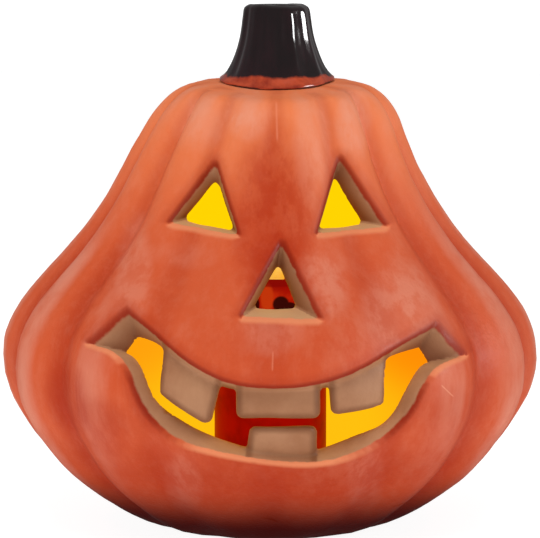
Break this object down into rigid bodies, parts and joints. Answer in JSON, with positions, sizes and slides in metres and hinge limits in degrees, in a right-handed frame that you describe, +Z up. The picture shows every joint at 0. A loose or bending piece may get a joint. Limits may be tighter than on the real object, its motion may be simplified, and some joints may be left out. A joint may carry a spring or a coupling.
{
  "type": "pumpkin lantern figure",
  "caption": "Ribbed pumpkin figure with a carved face and stem, lit by an LED pillar candle on a push-in base plug.",
  "frame": {"origin": "on the table under the middle of the belly", "axes": "+Z up through the crown, the carved face looks towards -Y, +X is the viewer's right"},
  "size_m": [0.2004, 0.1972, 0.1932],
  "materials": {
    "orange_ceramic": "matt terracotta-orange painted bisque ceramic, lightly dry-wiped",
    "stem_glaze": "glossy black-brown glazed ceramic",
    "base_plastic": "black moulded plastic",
    "silicone": "soft grey silicone",
    "red_wax": "red translucent wax-like shell",
    "flame_plastic": "frosted warm-white flame tip",
    "led_epoxy": "clear warm LED",
    "white_plastic": "white moulded plastic",
    "board_green": "green solder mask",
    "chip_black": "black moulded package",
    "cell_wrap": "plain dark green cell sleeve",
    "plated_metal": "nickel plated",
    "spring_steel": "plated spring wire",
    "screw_steel": "zinc plated",
    "knob_plastic": "white moulded plastic",
    "red_insulation": "red PVC insulation",
    "black_insulation": "black PVC insulation"
  },
  "bodies": {
    "pumpkin": {"pumpkin_shell": "orange_ceramic", "stem": "stem_glaze"},
    "light_unit": {"base_plug": "base_plastic", "seal_ring": "silicone", "base_deck": "base_plastic", "candle_sleeve": "red_wax", "flame_tip": "flame_plastic", "led": "led_epoxy", "led_post": "white_plastic", "circuit_board": "board_green", "control_chip": "chip_black", "cell_holder": "white_plastic", "cell_up": "cell_wrap", "cell_down": "cell_wrap", "contact_plus": "plated_metal", "contact_minus": "plated_metal", "minus_spring": "spring_steel", "switch_body": "chip_black", "red_wire": "red_insulation", "black_wire": "black_insulation", "base_screw_1": "screw_steel", "base_screw_2": "screw_steel", "base_screw_3": "screw_steel"},
    "battery_door": {"battery_door": "base_plastic", "door_contact": "plated_metal", "door_spring": "spring_steel"},
    "switch": {"switch_knob": "knob_plastic"}
  },
  "joints": [
    {"name": "light_unit_slide", "type": "slide", "parent": "pumpkin", "child": "light_unit", "axis": [0, 0, -1], "range_m": [0, 0.125]},
    {"name": "battery_door_hinge", "type": "hinge", "parent": "light_unit", "child": "battery_door", "pos_m": [0, -0.0102, 0.0022], "axis": [-1, 0, 0], "range_deg": [0, 90]},
    {"name": "switch_slide", "type": "slide", "parent": "light_unit", "child": "switch", "axis": [1, 0, 0], "range_m": [0, 0.003]}
  ]
}
